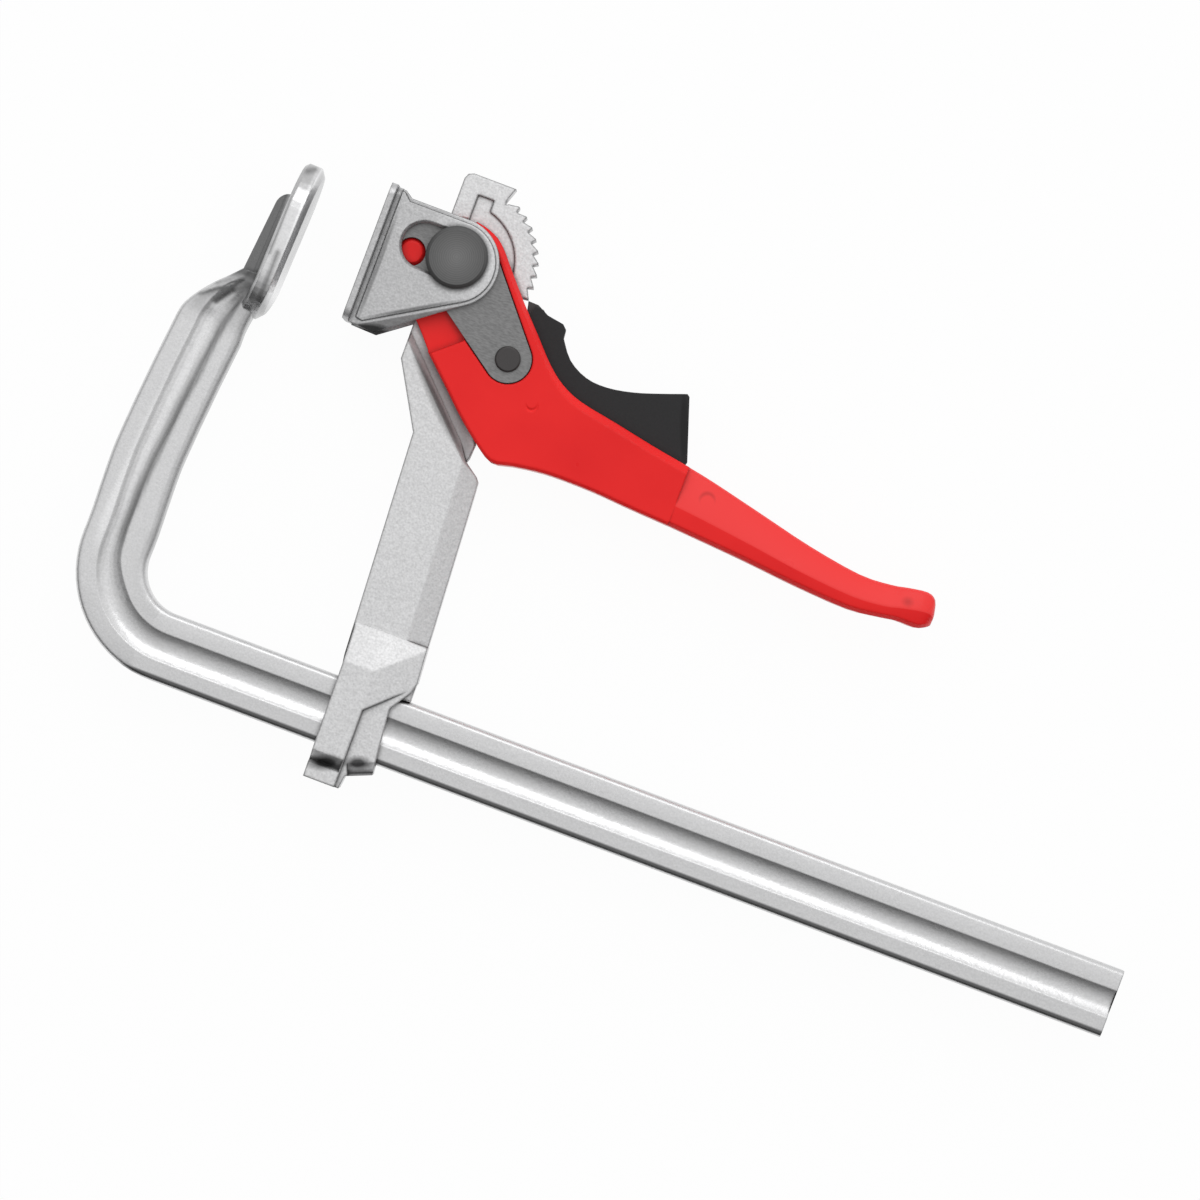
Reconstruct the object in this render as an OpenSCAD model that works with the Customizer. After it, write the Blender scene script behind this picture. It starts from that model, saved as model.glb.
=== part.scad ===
// Lever bar clamp, all steel, with a ratcheting cam lever
// X runs along the rail to its free end, Y up the arms, Z through the thickness
// The origin is the centre of the fixed jaw's clamping face

/* [Rail] */
// Height of the rail's section
rail_h = 24.5; // [22:0.5:28]
// Thickness of the rail
rail_t = 12; // [11:0.5:14]
// Distance from the fixed jaw's face to the rail's free end
rail_reach = 359; // [260:1:560]
// Radius of the rail's four long edges
rail_round = 2; // [0.8:0.1:2.6]
// Width of the groove along each face of the rail
groove_w = 10; // [6:0.5:13]
// Depth of the groove
groove_d = 1.8; // [0.8:0.1:2.4]
// Inner radius of the bend into the fixed arm
bend_r = 15.5; // [10:0.5:24]
// Lean of the fixed arm where it leaves the bend, degrees
lean_start = 1.5; // [0:0.5:4]
// Further lean gained along the fixed arm, degrees
lean_gain = 5; // [3:0.5:8]

/* [Jaws] */
// Distance from the rail's centre line to the middle of the jaws
throat = 147; // [115:1:190]
// Opening between the jaws as stored
jaw_gap = 24.7; // [8:0.1:200]
// Distance from the fixed jaw's face back to the inner edge of its arm
arm_setback = 9.6; // [7:0.2:14]
// Height of the fixed jaw's plate
jaw_h = 57.5; // [46:0.5:70]
// Width of the fixed jaw's plate
jaw_w = 34; // [26:1:40]
// Thickness of the fixed jaw's plate
jaw_t = 7.6; // [5:0.2:11]
// Bevel round the edge of the fixed jaw's face
jaw_bevel = 2.6; // [1:0.2:3.6]
// Cant of the fixed jaw towards the moving one, degrees
jaw_cant = 2.4; // [0:0.2:4]
// Thickness of the spine behind the fixed jaw
spine_t = 15; // [10:0.5:22]
// Distance from the fixed jaw's face to the back of its spine
spine_depth = 13.8; // [11:0.2:18]

/* [Pressure pad] */
// Height of the moving pad
pad_h = 50; // [42:0.5:60]
// Width of the moving pad
pad_w = 38; // [36:0.5:48]
// Thickness of the pad's front wall, measured behind its face
pad_wall = 4.3; // [3.4:0.1:7]
// Thickness of the pad's projecting rim
pad_rim = 2.3; // [1.4:0.1:3]
// Thickness of each cheek
cheek_t = 3; // [2:0.1:4]
// Height of the cheeks above the pivot
cheek_top = 13.8; // [12.5:0.1:16]
// Radius of the cheeks' round ends
cheek_r = 15.4; // [14:0.1:18]
// Width of the slot in each cheek
slot_w = 15.8; // [15.4:0.1:17]
// Length of slot left free in front of the pivot
slot_run = 12; // [9.5:0.1:16]

/* [Sliding arm] */
// Thickness of the arm's ratchet head
head_t = 12; // [9:0.5:14]
// Thickness of the shank
shank_t = 17.4; // [14.5:0.2:17.8]
// Wall of the foot beside the rail
foot_wall = 5.7; // [4:0.1:8]
// Wall of the foot under the rail
foot_floor = 12; // [8:0.5:16]
// Length of the foot along the rail
foot_len = 20.2; // [16:0.2:26]
// Width of the shank where it meets the head
shank_w = 26.4; // [23:0.2:30]
// Height of the head above the pivot
head_rise = 30; // [29.4:0.1:34]

/* [Ratchet] */
// Radius over the ratchet teeth
tooth_r = 28.2; // [27:0.1:29]
// Depth of the teeth
tooth_depth = 2; // [1.4:0.1:2.4]
// Angle from one tooth to the next, degrees
tooth_pitch = 8.64; // [8.48:0.02:8.72]
// Number of teeth
tooth_count = 10; // [9:1:11]
// Angle of the top tooth's tip above the X direction, degrees
tooth_first = 60.1; // [58:0.1:61]
// Depth of the round recess in each side of the head
recess_d = 1; // [0.5:0.1:1.5]
// Radius of the round recess
recess_r = 20; // [18.5:0.1:21]

/* [Pivot] */
// Diameter of the pivot pin
pin_d = 15; // [12:0.1:15.2]
// Diameter of the pivot pin's heads
pin_head_d = 21.7; // [19:0.1:25]
// Thickness of the pivot pin's heads
pin_head_t = 3; // [2:0.1:4]
// Height of the pivot above the middle of the jaws
pivot_up = 15.5; // [13:0.1:18]

/* [Lever] */
// Length of the lever from the pivot to its tip
lever_len = 198.8; // [170:1:260]
// Thickness of each wall of the lever beside the ratchet head
lever_wall = 2.6; // [2:0.1:3.4]
// Thickness of the web that closes the lever's channel
lever_web = 4; // [3:0.1:6]
// Radius of the lever's hub
hub_r = 13.6; // [12:0.1:14]

/* [Side plates] */
// Thickness of the cam side plates
plate_t = 3; // [2.4:0.1:4]
// Radius of the plates about the pivot
plate_r = 13.3; // [12:0.1:13.8]
// Radius of the plates about the rivet
plate_tail_r = 8.3; // [7:0.1:9]
// Reach of the cam ahead of the pivot with the lever closed
cam_reach = 25.4; // [24:0.1:28]
// Pad travel for each radian that the lever turns
cam_rate = 7.05; // [5:0.05:7.4]
// Diameter of the lever's boss that the plates sit on
boss_d = 9.8; // [8:0.1:11]
// Diameter of the rivet
rivet_d = 6; // [5:0.1:7]
// Diameter of the rivet's heads
rivet_head_d = 9; // [8:0.1:11]

/* [Trigger] */
// Thickness of the trigger
trigger_t = 11.6; // [8:0.2:11.8]
// Thickness of the pawl
pawl_t = 6; // [4:0.2:8]
// Angle that the trigger turns to drop the pawl into the teeth, degrees
pawl_drop = 5.6; // [5.6:0.1:6.4]
// Diameter of the trigger's return spring
spring_d = 7; // [5:0.2:9]
// Wire of the return spring
spring_wire = 0.9; // [0.6:0.1:1.2]

/* [Clearances] */
// Running clearance of a shaft in its bore, on the radius
fit = 0.05; // [0.02:0.01:0.08]
// Gap between faces that slide past each other
side_gap = 0.3; // [0.2:0.05:0.5]
// Gap between the cam and the pad's front wall
cam_gap = 0.2; // [0.1:0.05:0.3]

/* [Hidden] */
$fn = 96;

// Layers through the thickness, from the middle plane outwards
channel_z = head_t / 2 + side_gap;
plate_z = channel_z + lever_wall;
lever_z = plate_z + plate_t - side_gap;
cheek_z = plate_z + plate_t + side_gap;
pin_head_z = cheek_z + cheek_t + side_gap;
foot_z = rail_t / 2 + side_gap + foot_wall;

// Places in the clamp's own plane
rail_y = -throat;
pivot = [jaw_gap + pad_wall + cam_gap + cam_reach, pivot_up];
rivet_at = [28.8, -26.6];
boss_at = [-15.6, -3.4];
cam_end = 110;
spring_x = 70;
socket_top = -41;
groove_r = (pow(groove_w / 2, 2) + pow(groove_d, 2)) / (2 * groove_d);

function polar(r, a) = [r * cos(a), r * sin(a)];

// A smooth curve through the knots, with n steps from each knot to the next
function curve_point(a, b, c, d, t) =
    0.5 * (2 * b + (c - a) * t + (2 * a - 5 * b + 4 * c - d) * t * t
    + (3 * b - a - 3 * c + d) * t * t * t);
function smooth(knots, n) = let (last = len(knots) - 1) [
    for (i = [0 : last - 1], s = [0 : n - 1])
        curve_point(knots[max(i - 1, 0)], knots[i], knots[i + 1], knots[min(i + 2, last)], s / n),
    knots[last]
];

// Both sides of the clamp's middle plane
module both_sides() {
    children();
    mirror([0, 0, 1]) children();
}

// A flat piece between two heights
module layer(z0, z1) {
    translate([0, 0, z0]) linear_extrude(z1 - z0) children();
}

// Two discs joined by their outer tangents
module link(a, ra, b, rb) {
    d = norm(b - a);
    along = atan2(b[1] - a[1], b[0] - a[0]);
    side = acos((ra - rb) / d);
    translate(a) circle(ra);
    translate(b) circle(rb);
    polygon([
        a + polar(ra, along + side), a + polar(ra, along - side),
        b + polar(rb, along - side), b + polar(rb, along + side)
    ]);
}

// A solid skinned over a row of closed rings of points
module skin(rings) {
    n = len(rings[0]);
    m = len(rings);
    polyhedron(
        points = [for (ring = rings) each ring],
        faces = concat(
            [[for (j = [n - 1 : -1 : 0]) j]],
            [[for (j = [0 : n - 1]) (m - 1) * n + j]],
            [for (i = [0 : m - 2], j = [0 : n - 1]) [i * n + j, i * n + (j + 1) % n, (i + 1) * n + j]],
            [for (i = [0 : m - 2], j = [0 : n - 1])
                [i * n + (j + 1) % n, (i + 1) * n + (j + 1) % n, (i + 1) * n + j]]
        )
    );
}

// A wedge that planes one face down, beyond a line through p, falling away at the given slope
module plane_off(p, direction, z, slope, reach) {
    both_sides() translate([p[0], p[1], z]) rotate([0, 0, direction]) rotate([-slope, 0, 0])
        translate([-150, 0, 0]) cube([300, reach, 20]);
}

// An upright plate with round ends, facing +X, bevelled round the front and the back
module round_ended_plate(h, w, t, front_bevel, back_bevel) {
    r = w / 2;
    half = h / 2 - r;
    profile = [
        [0, -t], [r - back_bevel, -t], [r, back_bevel - t], [r, -front_bevel * 0.7],
        [r - front_bevel, 0], [0, 0]
    ];
    for (s = [-1, 1]) translate([0, s * half, 0]) rotate([0, 90, 0]) rotate_extrude() polygon(profile);
    translate([0, half, 0]) rotate([90, 0, 0]) linear_extrude(2 * half)
        polygon(concat(
            [for (q = profile) [q[1], q[0]]],
            [for (i = [len(profile) - 1 : -1 : 0]) [profile[i][1], -profile[i][0]]]
        ));
}

// Points of a section of the rail or the neck, height along X and thickness along Y,
// with rounded edges and a groove in each face
function rail_section(x, y, depth) = let (
    b = rail_round,
    swing = asin(groove_w / 2 / groove_r),
    sink = depth / groove_d,
    spread = min(1, 0.75 * (x - b) / (groove_w / 2)),
    groove = [for (t = [swing : -swing / 3 : -swing - 0.01])
        [spread * groove_r * sin(t), y - sink * (groove_d - groove_r * (1 - cos(t)))]],
    half = concat(
        [for (a = [0 : 22.5 : 90]) [x - b, y - b] + polar(b, a)], groove,
        [for (a = [90 : 22.5 : 180]) [b - x, y - b] + polar(b, a)])
) concat(half, [for (q = half) -q]);

module rail_with_fixed_jaw() {
    mid_r = bend_r + rail_h / 2;
    bend_at = [bend_r - arm_setback, rail_y + mid_r];
    arm_top = -jaw_h / 2 - 9;
    lean = lean_start + lean_gain;
    curve_r = (arm_top - bend_at[1] - mid_r * sin(lean_start)) / (sin(lean) - sin(lean_start));
    curve_at = bend_at - (curve_r - mid_r) * polar(1, 180 - lean_start);
    arm_end = curve_at + polar(curve_r, 180 - lean);
    neck_top = -jaw_h / 2 + 15;
    spine_top = jaw_h / 2 - 12.8;
    rail = [rail_h / 2, rail_t / 2, groove_d];
    // Each station holds a centre, the direction of the section's height, and its half
    // height, half thickness and groove depth, from the head down the arm to the free end
    neck = smooth([
        [-8.6, neck_top, 180, 5.2, jaw_w * 0.33, 0.3], [-10.4, neck_top - 3.8, 180, 7, jaw_w * 0.31, 0.4],
        [-12.4, neck_top - 7.8, 179, 8.8, jaw_w * 0.27, 0.8],
        [-14.4, neck_top - 13.2, 177, 10.4, rail_t * 0.63, 1.4],
        [arm_end[0] + 0.4, arm_end[1] + 4.6, 180 - lean, rail[0] - 0.5, rail[1] + 0.3, rail[2]],
        [arm_end[0], arm_end[1], 180 - lean, rail[0], rail[1], rail[2]]
    ], 4);
    arm = [for (i = [1 : 4]) let (a = 180 - lean + i * lean_gain / 5, c = curve_at + polar(curve_r, a))
        [c[0], c[1], a, rail[0], rail[1], rail[2]]];
    bend = [for (i = [0 : 18]) let (a = 180 - lean_start + i * (90 + lean_start) / 18,
        c = bend_at + polar(mid_r, a)) [c[0], c[1], a, rail[0], rail[1], rail[2]]];
    stations = concat(neck, arm, bend, [[rail_reach, rail_y, 270, rail[0], rail[1], rail[2]]]);
    color("silver") {
        skin([for (s = stations) [for (q = rail_section(s[3], s[4], s[5]))
            [s[0] + q[0] * cos(s[2]), s[1] + q[0] * sin(s[2]), q[1]]]]);
        rotate([0, 0, -jaw_cant]) {
            round_ended_plate(jaw_h, jaw_w, jaw_t, jaw_bevel, 1.2);
            difference() {
                layer(-spine_t / 2, spine_t / 2) {
                    polygon([
                        [-spine_depth, neck_top - 4], [1.7 - spine_depth, spine_top - 5],
                        [6.7 - spine_depth, spine_top], [-2, spine_top], [-2, neck_top - 4]
                    ]);
                    translate([6.7 - spine_depth, spine_top - 5]) circle(5);
                }
                plane_off([-jaw_t - 2, 0], 90, spine_t / 2, 48, 30);
            }
        }
    }
}

// Outline of the ratchet teeth, each with its steep face towards the closed end
module ratchet() {
    root = tooth_r - tooth_depth;
    low = tooth_first - (tooth_count - 1) * tooth_pitch;
    polygon(concat(
        [for (k = [0 : tooth_count - 1], s = [0 : 2])
            polar(s == 0 ? root : tooth_r, low + k * tooth_pitch + [-1.1, 0, 0.9][s])],
        [polar(root, tooth_first + tooth_pitch * 0.85), polar(recess_r, tooth_first + 25),
            polar(recess_r, low - 25), polar(root - 1, low - 12)]
    ));
}

// A hollow pressed into both sides, falling away from its upper edge and stopping at a lip
module hollow(p, direction, z, length) {
    both_sides() translate([p[0], p[1], z]) rotate([0, 0, direction]) rotate([90, 0, 90])
        linear_extrude(length) polygon([[0, 0.02], [-3.5, -3.2], [-4.5, 0.02]]);
}

module sliding_arm() {
    foot_slope = 11;
    foot_step = 2.6;
    root = tooth_r - tooth_depth;
    rail_top = throat - rail_h / 2 + pivot_up;
    rail_low = throat + rail_h / 2 + pivot_up;
    foot_x = 12.8;
    foot_back = foot_x + foot_len;
    foot_low = rail_low + foot_floor;
    shoulder = 38.6;
    neck_x = 6.8;
    knee = [neck_x + shank_w, shoulder + neck_x + shank_w - 3.2];
    color("gainsboro") translate(pivot) difference() {
        union() {
            layer(-head_t / 2, head_t / 2) {
                circle(hub_r - 1.2);
                ratchet();
                polygon([
                    [-7.6, 0], [-7.6, head_rise - 2.6], [-6.8, head_rise - 0.8], [-5, head_rise],
                    [10.6, head_rise], polar(root, tooth_first + tooth_pitch * 1.2), [12, 10]
                ]);
                polygon([
                    [-7, 2], [-6.2, -39.2], [-2, -46], [15, -60], [27.4, -65.8], [28.2, -63.4],
                    [28.5, -58], [20.9, -46], [20.9, -19], [22, 0]
                ]);
            }
            difference() {
                layer(-shank_t / 2, shank_t / 2) polygon([
                    [-6.3, -20], [-6.2, -39.2], [neck_x, -61.8], [foot_x - 1.2, 8 - rail_top],
                    [foot_x, -rail_top], [foot_x + 26, -rail_top], [foot_back + 5.8, 7 - rail_top],
                    [knee[0] + 1.2, -knee[1] - 6], [knee[0] + 0.8, -knee[1] - 1.6], [knee[0] - 0.4, -knee[1]],
                    [27.2, -64.6], [18, -51], [8, -20]
                ]);
                plane_off([-4.3, -shoulder + 4.3], -45, shank_t / 2, 52, 30);
                plane_off([knee[0] - 6.9, -60], -86.8, shank_t / 2, 24, 40);
            }
            difference() {
                layer(-foot_z, foot_z) polygon([
                    [foot_x - 1.4, 20 - rail_top], [foot_x - 0.6, 6 - rail_top], [foot_x, -rail_low],
                    [foot_x + 0.3, -foot_low], [foot_x + 13.2, -foot_low], [foot_x + 13.8, 4.8 - foot_low],
                    [foot_back + 2.4, 8.4 - foot_low], [foot_back, -rail_top - 4.4],
                    [foot_back + 5, 3.4 - rail_top], [foot_back + 6, 7 - rail_top],
                    [foot_back + 5, 20 - rail_top]
                ]);
                plane_off([0, 6 - rail_top], 0, foot_z, 13, 30);
                plane_off([foot_x + 11, -rail_top - 9], -88, foot_z, foot_slope, 30);
                // The lower step beside the column, under the sloping facet
                both_sides() layer(foot_z - foot_step, foot_z + 1) polygon([
                    [foot_x + 11.6, -rail_top - 8], [foot_x + 25.6, 5.2 - rail_top],
                    [foot_x + 37, 5.2 - rail_top], [foot_x + 37, -foot_low - 5], [foot_x + 11.8, -foot_low - 5]
                ]);
                // Hollows under the rail, one in the column and one in the step
                hollow([foot_x - 5, 9.9 - foot_low], 0, foot_z, 16.4);
                hollow([foot_x + 13, 9.2 - foot_low], 22, foot_z - foot_step, 20);
            }
        }
        both_sides() layer(head_t / 2 - recess_d, head_t / 2 + 1) {
            circle(hub_r + 0.8);
            intersection() {
                circle(recess_r);
                translate([-1.1, -recess_r]) square(2 * recess_r);
            }
            translate([-1.1, 0]) square([6, recess_r + 3.6]);
        }
        cylinder(d = pin_d + 2 * fit, h = head_t + 2, center = true);
        translate([-20, -rail_low - side_gap, -rail_t / 2 - side_gap])
            cube([100, rail_h + 2 * side_gap, rail_t + 2 * side_gap]);
    }
}

// A pin head with a bevelled rim, standing on its inner face
module pin_head(d, t) {
    rotate_extrude() polygon([[0, 0], [d / 2, 0], [d / 2, t * 0.7], [d / 2 - t * 0.4, t], [0, t]]);
}

module pivot_pin() {
    color("dimgray") translate(pivot) {
        translate([0, 0, pin_head_z]) pin_head(pin_head_d, pin_head_t);
        translate([0, 0, -pin_head_z - pin_head_t * 0.6])
            cylinder(d = pin_d, h = 2 * pin_head_z + pin_head_t * 0.6 + 0.1);
    }
}

module pivot_end_cap() {
    color("dimgray") translate(pivot) difference() {
        translate([0, 0, -pin_head_z]) mirror([0, 0, 1]) pin_head(pin_head_d, pin_head_t);
        translate([0, 0, -pin_head_z - pin_head_t * 0.6]) cylinder(d = pin_d, h = pin_head_t);
    }
}

// An upright rectangular plate from x to x + t, with rounded corners
module square_plate(x, t, h, w, r) {
    translate([x, 0, 0]) rotate([90, 0, 90]) linear_extrude(t) {
        square([h - 2 * r, w], center = true);
        square([h, w - 2 * r], center = true);
        for (i = [-1, 1], j = [-1, 1]) translate([i * (h / 2 - r), j * (w / 2 - r)]) circle(r);
    }
}

module pressure_pad() {
    face_x = jaw_gap - pivot[0];
    face_y = pad_h / 2 - pivot_up - 17.9;
    top = face_y + pad_h / 2;
    low = face_y - pad_h / 2;
    back_x = face_x + pad_wall;
    cheek_out = cheek_z + cheek_t;
    end_at = [-0.1, cheek_top - cheek_r];
    edge = end_at + polar(cheek_r, -59.3);
    step = 0.6;
    step_w = 1.3;
    slot_bevel = 1;
    color("gainsboro") translate(pivot) difference() {
        union() {
            translate([0, face_y, 0]) {
                square_plate(face_x, pad_rim, pad_h, pad_w, 4);
                square_plate(back_x - 2.2, 2.2, pad_h - 1, 2 * cheek_out - 1.6, 3);
            }
            both_sides() {
                // Each cheek is pressed with a low step round its edge
                layer(cheek_z, cheek_out - step) {
                    translate(end_at) circle(cheek_r);
                    polygon([
                        [back_x, top - 0.9], [back_x + 1.2, top - 0.9], [back_x + 4, cheek_top],
                        [end_at[0], cheek_top], end_at, edge,
                        [back_x + 2.4, edge[1] - (edge[0] - back_x - 2.4) * tan(30.7)],
                        [back_x, low + 0.9]
                    ]);
                }
                layer(cheek_z, cheek_out) {
                    translate(end_at) circle(cheek_r - step_w);
                    polygon([
                        [back_x, top - 1.6], [back_x + 1, top - 1.6], [back_x + 3.6, cheek_top - step_w],
                        [end_at[0], cheek_top - step_w], end_at, edge + polar(step_w, 120.7),
                        [back_x + 2.4, edge[1] + step_w - (edge[0] - back_x - 2.4) * tan(30.7)],
                        [back_x, low + 2]
                    ]);
                }
                // The cheek's foot bends in under it, towards the front wall
                difference() {
                    layer(cheek_z, cheek_out - step) polygon([
                        [face_x + pad_rim, low - 0.4], [back_x + 7.4, low - 0.8], edge, end_at,
                        [face_x + pad_rim, end_at[1]]
                    ]);
                    translate([edge[0], edge[1], cheek_out - step]) rotate([0, 0, 210.7]) rotate([-34, 0, 0])
                        translate([-10, 0, 0]) cube([60, 30, 20]);
                }
            }
        }
        both_sides() {
            layer(cheek_z - 1, cheek_out + 1) link([0.3, 0], slot_w / 2, [-slot_run, 0], slot_w / 2);
            translate([0, 0, cheek_out - slot_bevel + 0.1]) {
                for (x = [0.3, -slot_run]) translate([x, 0, 0])
                    cylinder(r1 = slot_w / 2, r2 = slot_w / 2 + slot_bevel, h = slot_bevel);
                translate([-slot_run, 0, 0]) rotate([90, 0, 90]) linear_extrude(slot_run + 0.3) polygon([
                    [-slot_w / 2, 0], [slot_w / 2, 0], [slot_w / 2 + slot_bevel, slot_bevel],
                    [-slot_w / 2 - slot_bevel, slot_bevel]
                ]);
            }
        }
    }
}

// Outline of the lever's thin walls about the hub, the boss and the root
module lever_root() {
    link([0, 0], hub_r, boss_at, 7.6);
    polygon([
        [0, 0], boss_at + polar(7.6, 215), boss_at + polar(7.6, 245), [-6.3, -24.5], [-2.4, -28.6],
        [2.4, -34.1], [6, -37.5], [20, -50.6], [26, -30], [hub_r, 0]
    ]);
}

module lever() {
    grip_x = 101;
    boss_bevel = 1.2;
    top_bevel = 2.6;
    low_bevel = 1;
    // Each knot holds its place along the lever, the upper edge and the lower edge
    root_knots = [
        [1.8, 14.4, -33.8], [7, 13.3, -38.6], [12.6, 10.2, -43.8], [19.6, 2.4, -50.4], [27.6, -6.6, -57],
        [35.5, -14.9, -62],
        [43, -22.8, -60.8], [49.5, -27.9, -59.8], [57.7, -31.4, -59.1], [72.4, -34.2, -59.2],
        [86.6, -37, -60.2], [grip_x, -39.4, -61]
    ];
    // Each knot holds its share of the grip's length, then the upper edge, the ridge and the
    // lower edge, then the half widths at those three
    grip_knots = [
        [-0.012, -39.2, -53.2, -60.9, 6.4, 11.5, 11.3], [0.1, -41.3, -54.3, -61.7, 6.2, 11.5, 11.2],
        [0.3, -45.8, -56.7, -63.2, 5.8, 11.3, 10.9], [0.5, -50.3, -59.4, -65.1, 5.6, 11, 10.5],
        [0.7, -53.4, -61, -66.2, 5.6, 10.6, 10.1], [0.82, -52.9, -60.2, -64.9, 5.8, 10.3, 9.7],
        [0.88, -51.8, -58.8, -64, 6.8, 10.2, 9.4], [0.95, -50.9, -57.4, -64, 6.8, 10, 8.8],
        [0.985, -52.6, -57.4, -62.6, 5.8, 8.8, 7.4], [1, -57.2, -58.4, -61.4, 4.4, 6.4, 5.4]
    ];
    color("crimson") translate(pivot) difference() {
        union() {
            layer(-plate_z, plate_z) lever_root();
            skin([for (k = smooth(root_knots, 3)) let (w = lever_z) [
                [k[0], k[1], top_bevel - w], [k[0], k[1] - top_bevel, -w],
                [k[0], k[2] + low_bevel, -w], [k[0], k[2], low_bevel - w],
                [k[0], k[2], w - low_bevel], [k[0], k[2] + low_bevel, w],
                [k[0], k[1] - top_bevel, w], [k[0], k[1], w - top_bevel]
            ]]);
            skin([for (k = smooth(grip_knots, 3)) let (x = grip_x + k[0] * (lever_len - grip_x)) [
                [x, k[1], -k[4]], [x, k[1] - 0.7, -k[4] - 1.2], [x, k[2], -k[5]],
                [x, k[2] - 0.6, -k[5] - 0.05], [x, k[3] + 1.4, -k[6]], [x, k[3], 1.8 - k[6]],
                [x, k[3], k[6] - 1.8], [x, k[3] + 1.4, k[6]],
                [x, k[2] - 0.6, k[5] + 0.05], [x, k[2], k[5]], [x, k[1] - 0.7, k[4] + 1.2], [x, k[1], k[4]]
            ]]);
            both_sides() translate([boss_at[0], boss_at[1], plate_z - 0.2]) {
                cylinder(d = boss_d, h = plate_t - side_gap - boss_bevel + 0.2);
                translate([0, 0, plate_t - side_gap - boss_bevel + 0.2])
                    cylinder(r1 = boss_d / 2, r2 = boss_d / 2 - boss_bevel, h = boss_bevel);
            }
        }
        // Channel for the ratchet head and the trigger, open along the top
        layer(-channel_z, channel_z) polygon([
            [-45, 45], [grip_x + 0.3, 45], [grip_x + 0.3, -60 + lever_web], [86.6, -59.3 + lever_web],
            [72.4, -58.4 + lever_web], [57.7, -58.5 + lever_web], [37, -61.4 + lever_web],
            [37, -75], [-45, -75]
        ]);
        // Seat for the side plates, open towards the pad
        both_sides() layer(plate_z, lever_z + 2) difference() {
            union() {
                link([0, 0], plate_r + 0.4, rivet_at, plate_tail_r + 0.4);
                polygon([[-40, -9], [2, -8], [12.3, -26], [4.6, -32.6], [-8, -43.4], [-45, -45]]);
                polygon([[-40, -10], [0, -10], [3.6, 30], [-40, 30]]);
            }
            translate(boss_at) circle(d = boss_d);
        }
        cylinder(d = pin_d + 2 * fit, h = 60, center = true);
        translate(rivet_at) cylinder(d = rivet_d + 2 * fit, h = 60, center = true);
    }
    // Thrust faces inside the channel that run in the head's round recess
    color("crimson") translate(pivot) both_sides() difference() {
        layer(channel_z - recess_d, channel_z + 0.5) circle(hub_r);
        translate([0, 0, channel_z]) cylinder(d = pin_d + 2 * fit, h = 10, center = true);
    }
}

// Cam edge of the side plates: its reach ahead of the pivot falls evenly as the lever opens
function cam_point(a) = let (h = cam_reach - cam_rate * (180 - a) * PI / 180)
    h * [cos(a), sin(a)] + cam_rate * [-sin(a), cos(a)];

module side_plate() {
    layer(plate_z, plate_z + plate_t) difference() {
        union() {
            link([0, 0], plate_r, rivet_at, plate_tail_r);
            polygon(concat(
                [[0, 0], [-1, plate_r]], [for (a = [cam_end : 5 : 180]) cam_point(a)],
                [[-cam_reach + 1.2, -11.4], [-cam_reach + 5.4, -14.4], [-6, -14.2], [0, -plate_r]]
            ));
        }
        circle(d = pin_d + 2 * fit);
        translate(boss_at) circle(d = boss_d + 2 * fit);
        translate(rivet_at) circle(d = rivet_d + 2 * fit);
    }
}

module side_plate_front() {
    color("gray") translate(pivot) side_plate();
}

module side_plate_back() {
    color("gray") translate(pivot) mirror([0, 0, 1]) side_plate();
}

module pawl_rivet() {
    top = plate_z + plate_t;
    color("dimgray") translate(pivot + rivet_at) {
        cylinder(d = rivet_d, h = 2 * top + 0.2, center = true);
        both_sides() translate([0, 0, top]) pin_head(rivet_head_d, 1.3);
    }
}

// Everything that turns with the trigger, drawn with the pawl dropped into the teeth, then lifted
module lifted() {
    translate(pivot + rivet_at) rotate(-pawl_drop) translate(-rivet_at) children();
}

// Outline of the pawl, worked out from the tooth gap that it drops into
module pawl_outline() {
    root = tooth_r - tooth_depth;
    a = tooth_first - 8 * tooth_pitch - 1.1;
    polygon([
        polar(root + side_gap, a - 0.6), polar(tooth_r + 0.4, a + 0.5), polar(tooth_r + 2, a + 1.2),
        polar(tooth_r + 7, a - 0.6), rivet_at + [6.6, 6], rivet_at + [5, 0], rivet_at + [-5, 0],
        polar(tooth_r + 1.2, a - 13), polar(tooth_r + 0.3, a - tooth_pitch + 1.4)
    ]);
}

module pawl() {
    color("dimgray") lifted() difference() {
        union() {
            layer(-pawl_t / 2, pawl_t / 2) pawl_outline();
            translate(rivet_at) cylinder(r = 5.6, h = pawl_t, center = true);
        }
        translate(rivet_at) cylinder(d = rivet_d + 2 * fit, h = 20, center = true);
    }
}

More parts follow.
